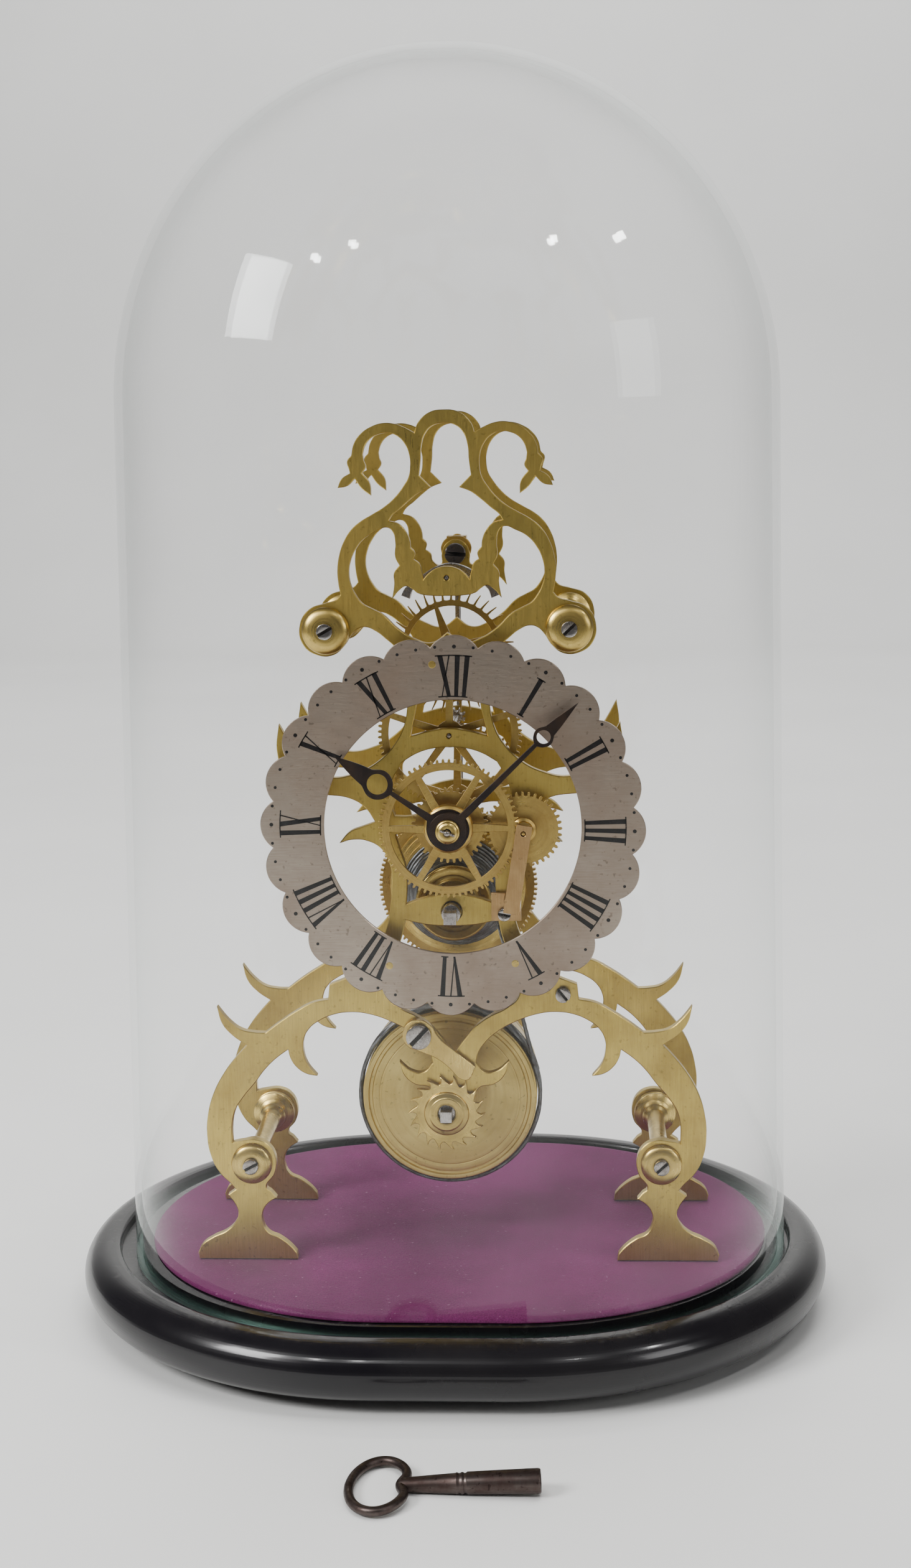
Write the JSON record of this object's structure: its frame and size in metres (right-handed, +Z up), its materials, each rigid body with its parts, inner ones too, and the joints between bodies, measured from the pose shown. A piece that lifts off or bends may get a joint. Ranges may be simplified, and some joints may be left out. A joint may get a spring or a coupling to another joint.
{
  "type": "skeleton clock",
  "caption": "Pierced brass skeleton timepiece with fusee drive, ring dial and short pendulum, on an oval base with velvet pad under a lift-off glass dome, with its winding key.",
  "frame": {"origin": "centre of the oval base on its flat underside", "axes": "+Z up, +X to the viewer's right when facing the dial, +Y from the dial towards the back"},
  "size_m": [0.2686, 0.2884, 0.441],
  "materials": {
    "ebonised_wood": "french-polished black, high gloss",
    "velvet": "short plum velvet pile",
    "dome_glass": "clear blown glass, ground foot",
    "plate_brass": "straight-grained and lacquered, polished edges",
    "wheel_brass": "satin, tarnished in the corners",
    "turned_brass": "turned and polished",
    "barrel_brass": "matt, fine turned rings",
    "silvered_brass": "silvered, brushed, browned with age",
    "polished_steel": "polished",
    "dark_steel": "tempered, blackened",
    "black_steel": "blacked",
    "line_steel": "stranded dark steel line",
    "iron": "dark, worn bright on the bow"
  },
  "bodies": {
    "frame": {"base_moulding": "ebonised_wood", "velvet_pad": "velvet", "front_plate": "plate_brass", "back_plate": "plate_brass", "minute_wheel_cock": "wheel_brass", "suspension_cock": "wheel_brass", "barrel_ratchet": "wheel_brass", "centre_bush": "turned_brass", "pillar_upper_left": "turned_brass", "pillar_upper_right": "turned_brass", "pillar_lower_left": "turned_brass", "pillar_lower_right": "turned_brass", "washer_upper_left": "turned_brass", "washer_upper_right": "turned_brass", "washer_lower_left": "turned_brass", "washer_lower_right": "turned_brass", "dial": "silvered_brass", "suspension_spring": "polished_steel", "barrel_arbor": "polished_steel", "plate_screw": "polished_steel", "cock_screw": "polished_steel", "click_screw": "polished_steel", "screw_front_upper_left": "polished_steel", "screw_front_upper_right": "polished_steel", "screw_front_lower_left": "polished_steel", "screw_front_lower_right": "polished_steel", "screw_back_upper_left": "polished_steel", "screw_back_upper_right": "polished_steel", "screw_back_lower_left": "polished_steel", "screw_back_lower_right": "polished_steel", "suspension_screw": "dark_steel", "line_run": "line_steel"},
    "going_barrel": {"barrel_drum": "barrel_brass", "barrel_cap": "barrel_brass", "mainspring": "dark_steel", "line_on_barrel": "line_steel"},
    "fusee": {"fusee": "turned_brass", "line_on_fusee": "line_steel", "great_wheel": "wheel_brass", "fusee_arbor": "polished_steel"},
    "centre": {"centre_arbor": "polished_steel", "centre_wheel": "wheel_brass", "cannon_wheel": "wheel_brass", "minute_hand": "black_steel", "hand_collet": "turned_brass"},
    "hour": {"hour_wheel": "wheel_brass", "hour_hand": "black_steel"},
    "minute": {"minute_wheel": "wheel_brass"},
    "third": {"third_arbor": "polished_steel", "third_wheel": "wheel_brass"},
    "escape": {"escape_arbor": "polished_steel", "escape_wheel": "wheel_brass"},
    "pallets": {"pallet_anchor": "polished_steel", "crutch_arbor": "polished_steel"},
    "pendulum": {"pendulum_rod": "polished_steel", "pendulum_bob": "turned_brass"},
    "rating_nut": {"rating_nut": "turned_brass"},
    "click": {"click": "plate_brass"},
    "glass_dome": {"glass_dome": "dome_glass"},
    "winding_key": {"winding_key": "iron"}
  },
  "joints": [
    {"name": "centre_turn", "type": "hinge", "parent": "frame", "child": "centre", "pos_m": [0.0032, -0.041, 0.1814], "axis": [0, 1, 0], "continuous": true},
    {"name": "fusee_turn", "type": "hinge", "parent": "frame", "child": "fusee", "pos_m": [0.0032, -0.041, 0.1509], "axis": [0, 1, 0], "continuous": true},
    {"name": "barrel_turn", "type": "hinge", "parent": "frame", "child": "going_barrel", "pos_m": [0.0005, -0.041, 0.0802], "axis": [0, 1, 0], "continuous": true},
    {"name": "hour_turn", "type": "hinge", "parent": "frame", "child": "hour", "pos_m": [0.0032, -0.041, 0.1814], "axis": [0, 1, 0], "continuous": true},
    {"name": "minute_turn", "type": "hinge", "parent": "frame", "child": "minute", "pos_m": [0.0281, -0.041, 0.1798], "axis": [0, 1, 0], "continuous": true},
    {"name": "third_turn", "type": "hinge", "parent": "frame", "child": "third", "pos_m": [0.0032, -0.041, 0.211], "axis": [0, 1, 0], "continuous": true},
    {"name": "escape_turn", "type": "hinge", "parent": "frame", "child": "escape", "pos_m": [0.0032, -0.041, 0.2372], "axis": [0, 1, 0], "continuous": true},
    {"name": "pendulum_swing", "type": "hinge", "parent": "frame", "child": "pendulum", "pos_m": [0.0032, 0.0294, 0.268], "axis": [0, 1, 0], "range_deg": [-3, 3]},
    {"name": "pallet_rock", "type": "hinge", "parent": "frame", "child": "pallets", "pos_m": [0.0032, -0.041, 0.264], "axis": [0, 1, 0], "range_deg": [-3, 3]},
    {"name": "rating_nut_turn", "type": "hinge", "parent": "pendulum", "child": "rating_nut", "pos_m": [0.0032, 0.0294, 0.0657], "axis": [0, 0, 1], "continuous": true},
    {"name": "click_lift", "type": "hinge", "parent": "frame", "child": "click", "pos_m": [-0.0086, -0.041, 0.1078], "axis": [0, 1, 0], "range_deg": [-20, 0]},
    {"name": "dome_lift", "type": "slide", "parent": "frame", "child": "glass_dome", "axis": [0, 0, 1], "range_m": [0, 0.31]},
    {"name": "key_lift", "type": "slide", "parent": "frame", "child": "winding_key", "axis": [0, 0, 1], "range_m": [0, 0.1]}
  ],
  "couplings": [
    {"joint": "fusee_turn", "follows": "centre_turn", "ratio": -0.083333},
    {"joint": "barrel_turn", "follows": "centre_turn", "ratio": -0.037531},
    {"joint": "hour_turn", "follows": "centre_turn", "ratio": 0.083333},
    {"joint": "minute_turn", "follows": "centre_turn", "ratio": -1},
    {"joint": "third_turn", "follows": "centre_turn", "ratio": -9.5},
    {"joint": "escape_turn", "follows": "centre_turn", "ratio": 105.86},
    {"joint": "pallet_rock", "follows": "pendulum_swing", "ratio": 1}
  ]
}
